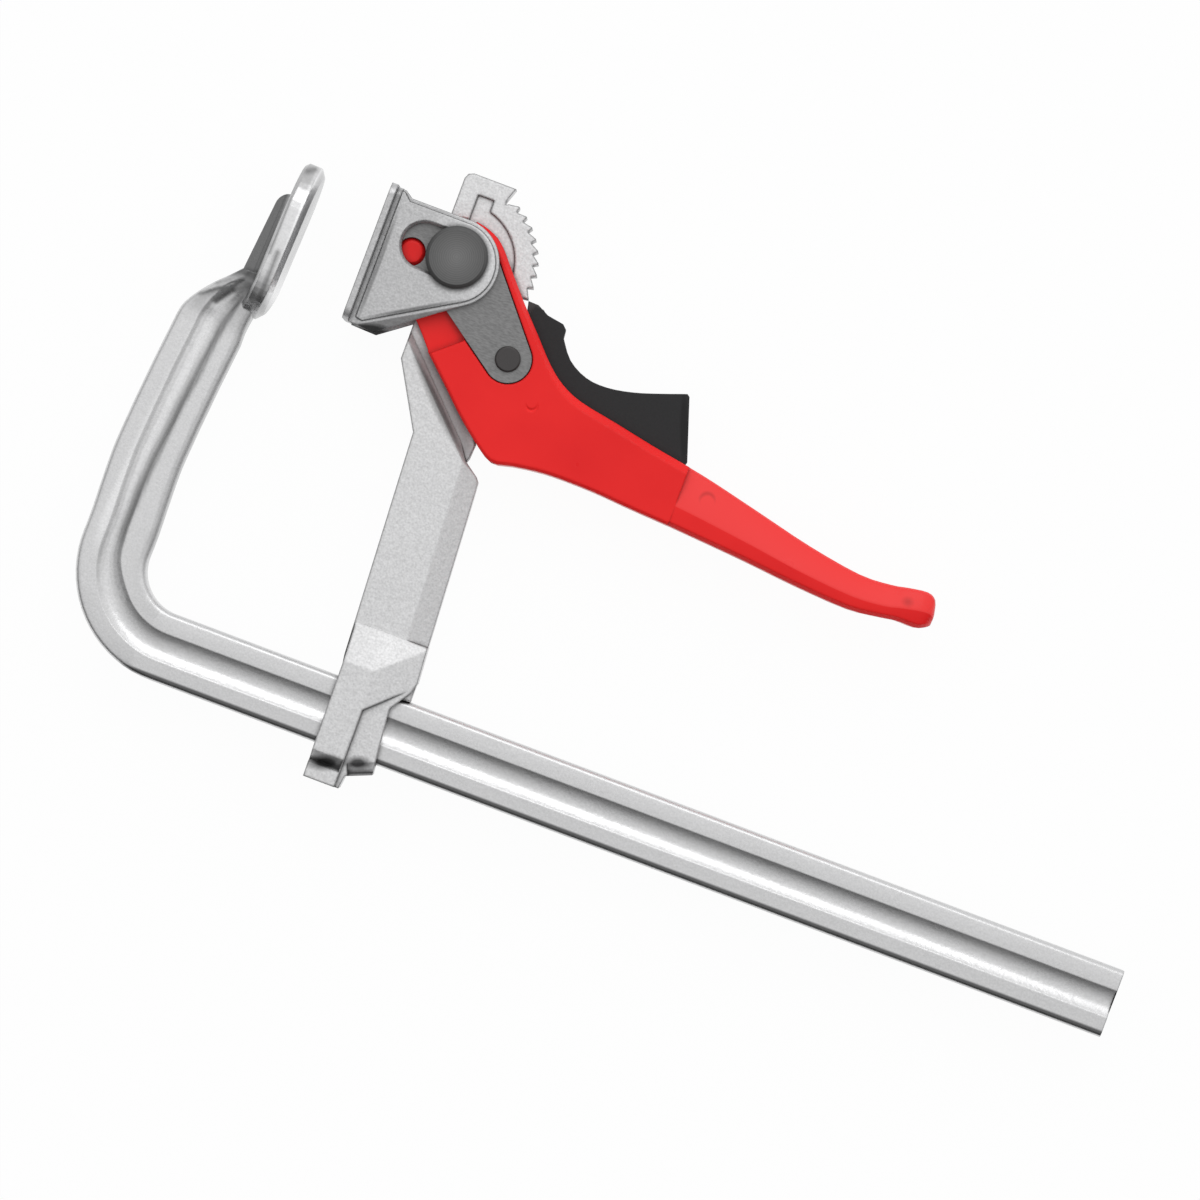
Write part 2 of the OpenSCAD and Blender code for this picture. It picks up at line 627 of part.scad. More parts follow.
module trigger() {
    top_edge = concat([[31.2, -5.5], [34.4, -6], [35.6, -7.1], [42.4, -8.2], [43.9, -9.6]], smooth([
        [44.2, -12.6], [49.2, -19.1], [56.5, -22.9], [64.4, -23.5], [73.4, -21.9], [82.4, -19], [91.4, -15.7]
    ], 3));
    color("darkslategray") translate(pivot) difference() {
        union() {
            layer(-trigger_t / 2, trigger_t / 2) polygon(concat(top_edge, [
                [92.4, -16.4], [99.7, -38], [98.6, -42.6], [62, -47], [40, -40],
                rivet_at + [0, -5.6], rivet_at, rivet_at + [-3, 3]
            ]));
            translate(rivet_at) cylinder(r = 6.2, h = trigger_t, center = true);
        }
        translate(rivet_at) cylinder(d = rivet_d + 2 * fit, h = 20, center = true);
        translate(-pivot) lifted() {
            translate(rivet_at) cylinder(r = 7, h = pawl_t + 2 * fit, center = true);
            layer(-pawl_t / 2 - fit, pawl_t / 2 + fit) polygon([
                [20, 0], polar(tooth_r + 7.1, -8.5), rivet_at + [6.8, 6], rivet_at + [6.8, 0], rivet_at,
                rivet_at + [-8, 0]
            ]);
        }
        plane_off([90, -18], -71, trigger_t / 2, 22, 20);
        translate([spring_x, socket_top - 7, 0]) rotate([-90, 0, 0]) cylinder(d = spring_d + 0.8, h = 7);
    }
}

module trigger_spring() {
    turns = 5;
    low = -58.45 + lever_web + spring_wire / 2 + 0.1;
    high = socket_top - spring_wire / 2 - 0.1;
    r = (spring_d - spring_wire) / 2;
    steps = 18;
    rings = [for (i = [0 : turns * steps]) let (
        a = 360 * i / steps,
        t = i / (turns * steps),
        c = [r * cos(a), low + (high - low) * t, r * sin(a)]
    ) [for (j = [0 : 5]) c + spring_wire / 2 * [cos(a) * cos(60 * j), sin(60 * j), sin(a) * cos(60 * j)]]];
    color("lightgray") translate(pivot + [spring_x, 0]) skin(rings);
}

rail_with_fixed_jaw();
sliding_arm();
pivot_pin();
pivot_end_cap();
pressure_pad();
lever();
side_plate_front();
side_plate_back();
pawl_rivet();
pawl();
trigger();
trigger_spring();
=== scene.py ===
import math

import bmesh
import bpy
import numpy as np
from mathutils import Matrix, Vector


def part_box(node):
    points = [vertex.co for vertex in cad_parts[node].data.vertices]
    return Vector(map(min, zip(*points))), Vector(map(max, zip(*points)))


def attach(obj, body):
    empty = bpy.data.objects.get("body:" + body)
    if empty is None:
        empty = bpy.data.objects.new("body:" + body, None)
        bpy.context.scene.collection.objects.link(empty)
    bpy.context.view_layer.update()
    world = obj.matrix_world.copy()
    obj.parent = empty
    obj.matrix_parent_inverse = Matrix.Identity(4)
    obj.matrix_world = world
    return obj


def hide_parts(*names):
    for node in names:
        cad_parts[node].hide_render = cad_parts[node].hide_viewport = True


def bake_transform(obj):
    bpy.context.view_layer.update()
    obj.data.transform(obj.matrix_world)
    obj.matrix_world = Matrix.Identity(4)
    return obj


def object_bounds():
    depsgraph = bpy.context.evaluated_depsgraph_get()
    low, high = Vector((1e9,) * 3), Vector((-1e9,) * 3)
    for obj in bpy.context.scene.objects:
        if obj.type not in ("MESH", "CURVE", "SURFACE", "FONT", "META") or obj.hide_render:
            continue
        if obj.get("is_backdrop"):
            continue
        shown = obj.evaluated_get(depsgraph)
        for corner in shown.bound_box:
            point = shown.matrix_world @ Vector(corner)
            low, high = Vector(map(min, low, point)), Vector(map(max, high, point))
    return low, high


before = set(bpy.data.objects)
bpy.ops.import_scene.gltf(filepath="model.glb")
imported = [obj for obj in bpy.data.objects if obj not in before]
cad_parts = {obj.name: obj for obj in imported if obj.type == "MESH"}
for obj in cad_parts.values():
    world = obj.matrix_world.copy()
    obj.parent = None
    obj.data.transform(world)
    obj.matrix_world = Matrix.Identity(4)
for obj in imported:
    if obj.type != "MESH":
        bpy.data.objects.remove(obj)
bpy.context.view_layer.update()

scene = bpy.context.scene
scene.view_settings.view_transform = "Standard"

# ---------------------------------------------------------------------------
# The studio. The clamp lies flat on a pale bench and is seen from straight
# above, with its rail running down to the right. One wide soft light hangs
# over it, towards the top of the picture, and the room falls off around that.
roll = math.radians(20.6)
right = np.array([math.cos(roll), math.sin(roll), 0.0])
up = np.array([-math.sin(roll), math.cos(roll), 0.0])
middle = (0.1427, -0.0780)
bench_z, bench_r, bench_corners, bench_glow = -0.0191, 4, 64, 0.96
light_heart = 0.2 * right + 0.62 * up + np.array([0, 0, 0.76])

camera = bpy.data.objects.new("camera", bpy.data.cameras.new("camera"))
scene.collection.objects.link(camera)
camera.location = (middle[0], middle[1], 2.0)
camera.rotation_euler = (0, 0, roll)
camera.data.lens = 172
camera.data.sensor_width = 36
camera.data.clip_start, camera.data.clip_end = 0.05, 50
scene.camera = camera


def seen_rays(nodes, links):
    """1 for rays that the camera sees by, straight, in a mirror or through glass, else 0."""
    path, some, any_of = (nodes.new("ShaderNode" + n) for n in ("LightPath", "Math", "Math"))
    some.operation = any_of.operation = "MAXIMUM"
    links.new(path.outputs["Is Camera Ray"], some.inputs[0])
    links.new(path.outputs["Is Glossy Ray"], some.inputs[1])
    links.new(some.outputs[0], any_of.inputs[0])
    links.new(path.outputs["Is Transmission Ray"], any_of.inputs[1])
    return any_of.outputs[0]


def falling_off(nodes, links, vector, strength):
    """A glow for each direction: strength times its cosine to the light's heart, near zero behind it."""
    toward, span = nodes.new("ShaderNodeVectorMath"), nodes.new("ShaderNodeMapRange")
    toward.operation = "DOT_PRODUCT"
    toward.inputs[1].default_value = tuple(light_heart)
    for key, number in (("From Min", -0.42), ("From Max", 1),
                        ("To Min", 0.05 * strength), ("To Max", strength)):
        span.inputs[key].default_value = number
    links.new(vector, toward.inputs[0])
    links.new(toward.outputs["Value"], span.inputs["Value"])
    return span.outputs["Result"]


world = bpy.data.worlds.new("studio")
scene.world = world
world.use_nodes = True
nodes, links = world.node_tree.nodes, world.node_tree.links
nodes.clear()
where, seen, room, mix, out = (nodes.new("ShaderNode" + n) for n in
                               ("TexCoord", "Background", "Background", "MixShader", "OutputWorld"))
seen.inputs["Color"].default_value = (1, 1, 1, 1)
links.new(falling_off(nodes, links, where.outputs["Generated"], 1.48), room.inputs["Strength"])
links.new(seen_rays(nodes, links), mix.inputs["Fac"])
links.new(room.outputs[0], mix.inputs[1])
links.new(seen.outputs[0], mix.inputs[2])
links.new(mix.outputs[0], out.inputs["Surface"])

# A light tent stands round the bench, lit from above in the same way, for metal to mirror
tent_r, tent_rows, tent_columns = 3.6, 12, 48
lift = np.linspace(0, np.pi / 2, tent_rows + 1)[:, None]
ring = np.linspace(0, 2 * np.pi, tent_columns + 1)[None, :-1]
points = np.stack([tent_r * np.cos(lift) * np.cos(ring), tent_r * np.cos(lift) * np.sin(ring),
                   tent_r * np.sin(lift) + 0 * ring], axis=-1).reshape(-1, 3)
row, column = np.meshgrid(np.arange(tent_rows), np.arange(tent_columns), indexing="ij")
after = (column + 1) % tent_columns
here, above = row * tent_columns, (row + 1) * tent_columns
tent = bpy.data.meshes.new("light_tent")
tent.from_pydata(points.tolist(), [], np.stack(
    [here + column, above + column, above + after, here + after],
    axis=-1).reshape(-1, 4).tolist())
tent = bpy.data.objects.new("light_tent", tent)
scene.collection.objects.link(tent)
tent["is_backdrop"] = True
tent.visible_camera = tent.visible_diffuse = tent.visible_shadow = tent.visible_transmission = False
cloth = bpy.data.materials.new("tent_cloth")
cloth.use_nodes = True
cloth.cycles.emission_sampling = "NONE"
nodes, links = cloth.node_tree.nodes, cloth.node_tree.links
nodes.clear()
where, small, glow, out = (nodes.new("ShaderNode" + n) for n in
                           ("TexCoord", "VectorMath", "Emission", "OutputMaterial"))
small.operation = "SCALE"
small.inputs["Scale"].default_value = 1 / tent_r
links.new(where.outputs["Object"], small.inputs[0])
links.new(falling_off(nodes, links, small.outputs["Vector"], 1.1), glow.inputs["Strength"])
links.new(glow.outputs[0], out.inputs["Surface"])
tent.data.materials.append(cloth)


def softbox(name, across, height, rise, size, watts):
    """A square area lamp over a point of the picture, given across and up it, aimed at the clamp."""
    lamp = bpy.data.lights.new(name, "AREA")
    lamp.shape, lamp.size, lamp.energy = "SQUARE", size, watts
    o = bpy.data.objects.new(name, lamp)
    scene.collection.objects.link(o)
    place = np.array([*middle, 0]) + across * right + height * up + np.array([0, 0, rise])
    o.location = place
    away = place - np.array([*middle, 0])
    o.rotation_euler = (math.acos(away[2] / np.linalg.norm(away)), 0,
                        math.atan2(away[1], away[0]) + math.pi / 2)


softbox("top_softbox", 0.3, 1.2, 1.6, 1.1, 5)

angle = np.linspace(0, 2 * np.pi, bench_corners + 1)[:-1]
bench = bpy.data.meshes.new("bench")
bench.from_pydata([(bench_r * c + middle[0], bench_r * s + middle[1], bench_z)
                   for c, s in zip(np.cos(angle), np.sin(angle))], [], [tuple(range(bench_corners))])
bench = bpy.data.objects.new("bench", bench)
scene.collection.objects.link(bench)
bench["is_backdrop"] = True
pale = bpy.data.materials.new("pale_bench")
pale.use_nodes = True
nodes, links = pale.node_tree.nodes, pale.node_tree.links
nodes.clear()
lit, glow, soft, hole, side, out = (nodes.new("ShaderNode" + n) for n in (
    "BsdfDiffuse", "Emission", "MixShader", "BsdfTransparent", "MixShader", "OutputMaterial"))
back = nodes.new("ShaderNodeNewGeometry")
lit.inputs["Color"].default_value = (0.86, 0.86, 0.86, 1)
glow.inputs["Strength"].default_value = 1.0
share = nodes.new("ShaderNodeMath")
share.operation = "MULTIPLY"
share.inputs[1].default_value = bench_glow
links.new(seen_rays(nodes, links), share.inputs[0])
links.new(share.outputs[0], soft.inputs["Fac"])
links.new(lit.outputs[0], soft.inputs[1])
links.new(glow.outputs[0], soft.inputs[2])
links.new(back.outputs["Backfacing"], side.inputs["Fac"])
links.new(soft.outputs[0], side.inputs[1])
links.new(hole.outputs[0], side.inputs[2])
links.new(side.outputs[0], out.inputs["Surface"])
bench.data.materials.append(pale)

# ---------------------------------------------------------------------------
# The rail with its fixed jaw. One steel forging: a flat bar, rolled with a
# shallow groove down each face, bent up into the fixed arm and upset at the
# end into the jaw. It is tumbled and zinc plated, which leaves a fine grain.


def clean_copy(node, sharp):
    """A copy of a node's mesh with its loose triangles merged, shaded smooth below the angle sharp."""
    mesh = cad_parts[node].data.copy()
    mesh.materials.clear()
    work = bpy.data.objects.new(node + "_skin", mesh)
    scene.collection.objects.link(work)
    bm = bmesh.new()
    bm.from_mesh(mesh)
    bmesh.ops.remove_doubles(bm, verts=bm.verts, dist=2e-6)
    bm.to_mesh(mesh)
    bm.free()
    if mesh.attributes.get("custom_normal"):
        mesh.attributes.remove(mesh.attributes["custom_normal"])
    mesh.shade_smooth()
    mesh.set_sharp_from_angle(angle=math.radians(sharp))
    return work


def metal(name, colour, roughness, edge):
    """A metal finish with rounded edges; returns its material, nodes, links and main shader."""
    m = bpy.data.materials.new(name)
    m.use_nodes = True
    nodes, links = m.node_tree.nodes, m.node_tree.links
    bsdf = nodes["Principled BSDF"]
    bsdf.inputs["Base Color"].default_value = (*colour, 1)
    bsdf.inputs["Metallic"].default_value = 1
    bsdf.inputs["Roughness"].default_value = roughness
    soft = nodes.new("ShaderNodeBevel")
    soft.samples = 6
    soft.inputs["Radius"].default_value = edge
    soft.name = "edge"
    links.new(soft.outputs["Normal"], bsdf.inputs["Normal"])
    return m, nodes, links, bsdf


def grain(nodes, links, scale, detail, stretch=(1, 1, 1)):
    """Noise on the piece's own coordinates, finer the larger its scale."""
    coords, turn, speck = (nodes.new("ShaderNode" + n) for n in ("TexCoord", "Mapping", "TexNoise"))
    turn.inputs["Scale"].default_value = stretch
    speck.inputs["Scale"].default_value = scale
    speck.inputs["Detail"].default_value = detail
    links.new(coords.outputs["Object"], turn.inputs["Vector"])
    links.new(turn.outputs["Vector"], speck.inputs["Vector"])
    return speck.outputs["Fac"]


def spread(nodes, links, value, low, high, start=0.3, stop=0.7):
    """Carries a noise value onto the span from low to high."""
    span = nodes.new("ShaderNodeMapRange")
    for key, number in (("From Min", start), ("From Max", stop), ("To Min", low), ("To Max", high)):
        span.inputs[key].default_value = number
    links.new(value, span.inputs["Value"])
    return span.outputs["Result"]


def tint(nodes, links, value, dark, light):
    """Carries a value from 0 to 1 onto two colours."""
    ramp = nodes.new("ShaderNodeValToRGB")
    ramp.color_ramp.elements[0].color = (*dark, 1)
    ramp.color_ramp.elements[1].color = (*light, 1)
    links.new(value, ramp.inputs["Fac"])
    return ramp.outputs["Color"]


def raise_by(nodes, links, value, depth, bsdf):
    """Bumps the surface by value times depth, over its rounded edges."""
    bump = nodes.new("ShaderNodeBump")
    bump.inputs["Distance"].default_value = depth
    bump.inputs["Strength"].default_value = 1
    before = bsdf.inputs["Normal"].links[0].from_socket
    links.new(value, bump.inputs["Height"])
    links.new(before, bump.inputs["Normal"])
    links.new(bump.outputs["Normal"], bsdf.inputs["Normal"])


def painted_corner_shade(nodes, links, reach, darkest):
    """Painted shade: 1 on open faces, falling to darkest in corners and seams narrower than reach."""
    near = nodes.new("ShaderNodeAmbientOcclusion")
    near.samples = 8
    near.inputs["Distance"].default_value = reach
    return spread(nodes, links, near.outputs["AO"], darkest, 1, 0.35, 0.9)


def times(nodes, links, colour, factor):
    """A colour multiplied by a grey factor."""
    both = nodes.new("ShaderNodeVectorMath")
    both.operation = "SCALE"
    links.new(colour, both.inputs[0])
    links.new(factor, both.inputs["Scale"])
    return both.outputs["Vector"]


def edges(nodes, links, darkest):
    """1 on open faces, falling to darkest on the rounding of each edge: a mask for painted shade along
    edges, and for painted highlights.
    """
    face, turned = nodes.new("ShaderNodeNewGeometry"), nodes.new("ShaderNodeVectorMath")
    turned.operation = "DOT_PRODUCT"
    links.new(face.outputs["Normal"], turned.inputs[0])
    links.new(nodes["edge"].outputs["Normal"], turned.inputs[1])
    return spread(nodes, links, turned.outputs["Value"], darkest, 1, 0.82, 0.985)


def product(nodes, links, a, b):
    """Two grey values multiplied."""
    both = nodes.new("ShaderNodeMath")
    both.operation = "MULTIPLY"
    links.new(a, both.inputs[0])
    links.new(b, both.inputs[1])
    return both.outputs[0]


def zinc_plate(name, grit, colour, rough=(0.36, 0.46), edge=0.0007, corner_shade=0.3, edge_shade=0.5,
               shine=1.0):
    """Zinc plating over tumbled steel: light grey, frosted, clouded, with painted shade in corners and
    along edges.
    """
    m, nodes, links, bsdf = metal(name, colour, rough[0], edge)
    bsdf.inputs["Metallic"].default_value = shine
    fine = grain(nodes, links, 1300, 3)
    cloud = grain(nodes, links, 55, 4)
    shade = np.array(colour)
    frost = tint(nodes, links, spread(nodes, links, fine, 0, 1), tuple(shade * (1 - 0.09 * grit)),
                 tuple(shade * (1 + 0.06 * grit)))
    # Painted shade in corners and seams and on the rounding of the edges
    shadow = product(nodes, links, painted_corner_shade(nodes, links, 0.0022, corner_shade), edges(nodes, links, edge_shade))
    links.new(times(nodes, links, frost, shadow), bsdf.inputs["Base Color"])
    links.new(spread(nodes, links, cloud, rough[0], rough[1]), bsdf.inputs["Roughness"])
    raise_by(nodes, links, fine, 0.00003 * grit, bsdf)
    raise_by(nodes, links, grain(nodes, links, 420, 3), 0.0001 * grit, bsdf)
    return m


def ramp_up(value, start, stop):
    """Rises smoothly from 0 at start to 1 at stop."""
    t = np.clip((value - start) / (stop - start), 0, 1)
    return t * t * (3 - 2 * t)


def bell(distance, width):
    """1 at no distance, fading to nothing over about two widths."""
    return np.exp(-(distance / width) ** 2)


def cut_grid(mesh, rows, columns):
    """Cuts the faces between the outer rows level at each row, and upright at each column."""
    bm = bmesh.new()
    bm.from_mesh(mesh)
    for height in (rows[0], rows[-1]):
        bmesh.ops.bisect_plane(bm, geom=bm.verts[:] + bm.edges[:] + bm.faces[:], dist=1e-7,
                               plane_co=(0, height / 1000, 0), plane_no=(0, 1, 0))
    low, high = rows[0] / 1000, rows[-1] / 1000
    faces = [f for f in bm.faces if low < f.calc_center_median().y < high]
    corners_and_sides = [v for f in faces for v in f.verts] + [e for f in faces for e in f.edges]
    part = list(dict.fromkeys(corners_and_sides)) + faces
    for axis, places in ((1, rows[1:-1]), (0, columns)):
        for place in places:
            spot = [0, 0, 0]
            spot[axis] = place / 1000
            part = bmesh.ops.bisect_plane(bm, geom=part, dist=1e-7, plane_co=spot,
                                          plane_no=(1 - axis, axis, 0))["geom"]
    bm.to_mesh(mesh)
    bm.free()


def nearest(p, line):
    """Each point's distance from a line through the given points, seen from the front."""
    gap = np.full(len(p), 1e9)
    for a, b in zip(np.array(line[:-1], float), np.array(line[1:], float)):
        t = np.clip(((p[:, :2] - a) @ (b - a)) / ((b - a) @ (b - a)), 0, 1)
        gap = np.minimum(gap, np.linalg.norm(p[:, :2] - a - t[:, None] * (b - a), axis=1))
    return gap


# The fixed arm's middle and half width at heights up it, in millimetres, the bank on the
# inner side of its groove, and how far that bank moves out
full_half = 12.25
up_arm = [-119, -95, -70, -37.8, -33.1, -27, -21.6, -17.6, -13.8]
arm_middle = [-21.9, -20.9, -19.3, -16.2, -15.8, -14.4, -12.4, -10.4, -8.6]
arm_half = [full_half] * 4 + [11.75, 10.4, 8.8, 7, 5.2]
up_bank = [-123, -113.2, -98.7, -86.8, -66.3, -54.9, -41.8, -34.4, -25.9, -19]
bank = [-19.5, -20.5, -19.8, -18.9, -17.1, -15.3, -14.2, -13.2, -11.2, -9]
up_shift = [-134, -122, -113, -98, -86, -72, -50, -30, -16]
bank_shift = [0, 2.0, 2.8, 2.7, 2.0, 1.0, 1.1, 1.4, 0]
lap_line = [(-18.9, -27.9), (-17, -25.4), (-14.6, -22.4)]
crest_line = [(-25, -26.4), (-20.4, -23.1), (-18, -21.4), (-12.8, -17)]

rail = clean_copy("rail_with_fixed_jaw", 14)
lowest = min(c[1] for c in rail.bound_box) * 1000
cut_grid(rail.data, np.r_[-136:-60:3, -60:32:0.75], np.arange(-37, 1, 0.75))
cut_grid(rail.data, lowest + np.arange(0.3, 3.2, 0.4), [])
flat = np.empty(3 * len(rail.data.vertices))
rail.data.vertices.foreach_get("co", flat)
steel = flat.reshape(-1, 3) * 1000
x, y, z = steel.T
# The groove's inner bank lies further out than in the solid, and the arm bows a little
half = np.interp(y, up_arm, arm_half)
across = (x - np.interp(y, up_arm, arm_middle)) / half * full_half
shift = np.interp(y, up_shift, bank_shift)
inner = ramp_up(across, -5, 5) * ramp_up(-across, -full_half, -5)
bow = 2.0 * ramp_up(y, -118, -82) * (1 - ramp_up(y, -36, -17))
x -= shift * inner * half / full_half + bow
# The crest where the arm twists into the jaw, the lap under it and the groove's end
on_face = ramp_up(np.abs(z), 2.5, 4.5) * (1 - ramp_up(x, -9.5, -7.5)) * (y < -12)
crest = 0.5 * bell(nearest(steel, crest_line), 0.9)
lap = 0.55 * bell(nearest(steel, lap_line), 1.4)
beside = x - np.interp(y, up_bank, bank)
trough = 0.9 * bell(beside + 1.2, 1.5) * ramp_up(y, -56, -36) * (1 - ramp_up(y, -26, -17))
z += np.sign(z) * on_face * (crest - lap - trough)
# Painted light and shade, laid into the colour: darker on the spine, painted shade in the laps, under
# the crest, beside the jaw plate, along the inner bank of the groove, the inner rim and the lower edge,
# painted highlights beside them
scale = ramp_up(-x, 7.3, 8.2) * ramp_up(y, -20, -15) * ramp_up(16.4 - y, 0, 0.6)
scale = np.maximum(scale, 0.75 * bell(nearest(steel, [(-11, -15), (-8.6, -20.5)]), 2.6))
scale = np.maximum(scale, 0.9 * bell(nearest(steel, lap_line), 0.9))
scale = np.maximum(scale, 0.45 * bell(nearest(steel, [(a, b + 1.3) for a, b in crest_line[1:]]), 0.8))
arm_run = ramp_up(y, -128, -112) * (1 - ramp_up(y, -24, -17)) * (x < 0)
groove_shade = np.where(beside > 0, bell(beside, 0.8), bell(beside, 2.3)) * arm_run
scale = np.maximum(scale, 0.72 * groove_shade * (np.abs(z) > 1.5))
scale = np.maximum(scale, 0.75 * bell(nearest(steel, [(-4.0, -4.6), (-4.0, -11), (-4.6, -22.3)]), 0.9))
scale = np.maximum(scale, 0.6 * bell(nearest(steel, [(-6.4, 15), (-6.5, -6)]), 0.45))
above_edge = y - lowest
shaded_edge = ramp_up(above_edge, 0.4, 1.0) * (1 - ramp_up(above_edge, 2.0, 2.7)) * ramp_up(x, -14, 2)
scale = np.maximum(scale, shaded_edge)
inner_rim = np.interp(y, up_arm, np.add(arm_middle, arm_half)) - bow - x
scale = np.maximum(scale, 0.28 * (1 - ramp_up(inner_rim, 2.2, 2.9)) * arm_run)
scale = np.maximum(scale, 0.5 * (1 - ramp_up(inner_rim, 0.3, 1.2)) * arm_run)
scale = np.maximum(scale, 0.7 * bell(nearest(steel, [(-4.6, 25.6), (-2.8, 27.2)]), 1.3))
# Painted highlights in the groove, at the end of the stub and on the jaw plate's rim
painted_highlight = (0.17 * bell(beside + 5.2, 2.4) + 0.2 * bell(beside + 8.2, 1.4)) * arm_run
painted_highlight = painted_highlight + 0.2 * bell(nearest(steel, [(-4.8, -27.2), (-3.2, -29)]), 1.6)
painted_highlight = painted_highlight + 0.08 * ramp_up(y, -6, 2) * ramp_up(x, -6, -5) * (x < 2)
painted_highlight = painted_highlight + 0.35 * ramp_up(y, -26, -22) * ramp_up(x, -2.6, -1.8) * (1 - ramp_up(x, -1, -0.2))
# Painted shade: the jaw plate's front side and top, and the rail past its bend, are made a little darker
scale = np.maximum(scale, 0.3 * ramp_up(x, -0.6, 0.2) * (y > -36) * (x < 2))
tone = (1 + painted_highlight) * (1 - 0.75 * scale) * (1 - 0.3 * ramp_up(y, 14.5, 16.5) * (x < -1))
tone = tone * (1 - 0.07 * ramp_up(x, -22, 0) * (y < -110))
rail.data.vertices.foreach_set("co", (steel / 1000).reshape(-1))
rail.data.attributes.new("shade_and_highlight", "FLOAT", "POINT").data.foreach_set("value", tone)
rail.data.update()


def darken(material, factor):
    """Multiplies the colour that is already on a material by a grey factor."""
    colour = material.node_tree.nodes["Principled BSDF"].inputs["Base Color"]
    links = material.node_tree.links
    links.new(times(material.node_tree.nodes, links, colour.links[0].from_socket, factor), colour)


rail_zinc = zinc_plate("rail_zinc", 0.8, (0.66, 0.66, 0.665), (0.24, 0.32), edge_shade=0.8)
shade_and_highlight = rail_zinc.node_tree.nodes.new("ShaderNodeAttribute")
shade_and_highlight.attribute_name = "shade_and_highlight"
darken(rail_zinc, shade_and_highlight.outputs["Fac"])
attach(rail, "rail")
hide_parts("rail_with_fixed_jaw")
rail.data.materials.append(rail_zinc)

# ---------------------------------------------------------------------------
# The sliding arm. One drop forging with a toothed head, a shank with hammered
# facets and a foot that the rail runs through; tumbled and zinc plated.


def coat(o, material):
    """Gives a CAD node one finish all over."""
    o.data.materials.clear()
    o.data.materials.append(material)


def blot(material, centre, size, angle, soft):
    """1 in an oval, falling to 0 at its rim; half sizes in millimetres, angle in degrees."""
    nodes, links = material.node_tree.nodes, material.node_tree.links
    coords, place, reach = (nodes.new("ShaderNode" + n) for n in ("TexCoord", "Mapping", "VectorMath"))
    place.vector_type = "TEXTURE"
    place.inputs["Location"].default_value = (centre[0] / 1000, centre[1] / 1000, 0)
    place.inputs["Rotation"].default_value = (0, 0, math.radians(angle))
    place.inputs["Scale"].default_value = (size[0] / 1000, size[1] / 1000, 10)
    reach.operation = "LENGTH"
    links.new(coords.outputs["Object"], place.inputs["Vector"])
    links.new(place.outputs["Vector"], reach.inputs[0])
    return spread(nodes, links, reach.outputs["Value"], 1, 0, 1 - soft, 1)


def stain_and_shade(material, value, darkest):
    """Multiplies a material's colour by darkest where value is 1, for real marks and for painted shade
    and highlights; above 1 that brightens it.
    """
    nodes, links = material.node_tree.nodes, material.node_tree.links
    darken(material, spread(nodes, links, value, 1, darkest, 0, 1))


arm_zinc = zinc_plate("arm_zinc", 1.5, (0.69, 0.69, 0.695), (0.42, 0.56), edge=0.0013,
                      edge_shade=0.35, shine=0.7)
# Painted shade in the hollows low on the foot, and the lever's shadow painted on the shank beside it
stain_and_shade(arm_zinc, blot(arm_zinc, (73.4, -164.3), (8, 3.3), 20, 0.65), 0.1)
stain_and_shade(arm_zinc, blot(arm_zinc, (83.9, -160.6), (5.4, 2.9), 20, 0.65), 0.12)
lever_shadow = blot(arm_zinc, (67.3, -32.6), (27, 4.6), -44.3, 0.3)
stain_and_shade(arm_zinc, lever_shadow, 0.56)
stain_and_shade(arm_zinc, blot(arm_zinc, (66.5, -34.2), (25, 1.2), -44, 0.6), 0.4)
nodes, links = arm_zinc.node_tree.nodes, arm_zinc.node_tree.links
# The painted shadow strip is also made less metallic
links.new(spread(nodes, links, lever_shadow, 0.7, 0, 0, 1), nodes["Principled BSDF"].inputs["Metallic"])
coat(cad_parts["sliding_arm"], arm_zinc)

# ---------------------------------------------------------------------------
# The pivot pin and the cap that closes it. Turned from dark steel, oiled, with
# fine turning marks round each head.


def dark_steel(name, colour=(0.13, 0.13, 0.13), rough=0.42):
    """Oiled dark steel with a fine satin grain."""
    m, nodes, links, bsdf = metal(name, colour, rough, 0.0004)
    bsdf.inputs["Metallic"].default_value = 0.85
    fine = grain(nodes, links, 1500, 3)
    links.new(spread(nodes, links, fine, rough - 0.06, rough + 0.08), bsdf.inputs["Roughness"])
    raise_by(nodes, links, fine, 0.00001, bsdf)
    return m


pin_steel = dark_steel("pin_steel")
pivot = (54.6, 15.5)
# The turning marks, and the burnish in the middle where a finger wears the oil off
nodes, links = pin_steel.node_tree.nodes, pin_steel.node_tree.links
coords, centred, rings = (nodes.new("ShaderNode" + n) for n in ("TexCoord", "Mapping", "TexWave"))
centred.inputs["Location"].default_value = (-pivot[0] / 1000, -pivot[1] / 1000, 0)
rings.wave_type, rings.rings_direction = "RINGS", "Z"
rings.inputs["Scale"].default_value = 420
rings.inputs["Distortion"].default_value = 0.6
links.new(coords.outputs["Object"], centred.inputs["Vector"])
links.new(centred.outputs["Vector"], rings.inputs["Vector"])
wear_and_sheen = tint(nodes, links, blot(pin_steel, pivot, (10.5, 10.5), 0, 1),
            (0.105, 0.105, 0.105), (0.17, 0.17, 0.17))
links.new(wear_and_sheen, nodes["Principled BSDF"].inputs["Base Color"])
darken(pin_steel, spread(nodes, links, rings.outputs["Fac"], 0.9, 1.06, 0, 1))
# Painted shade on the rounding of the edges
darken(pin_steel, edges(nodes, links, 0.45))
raise_by(nodes, links, rings.outputs["Fac"], 0.000012, nodes["Principled BSDF"])
for name in ("pivot_pin", "pivot_end_cap"):
    coat(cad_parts[name], pin_steel)

# ---------------------------------------------------------------------------
# The pressure pad. A steel stamping with a flat front plate and two slotted
# cheeks that ride on the pivot pin; tumbled and zinc plated.


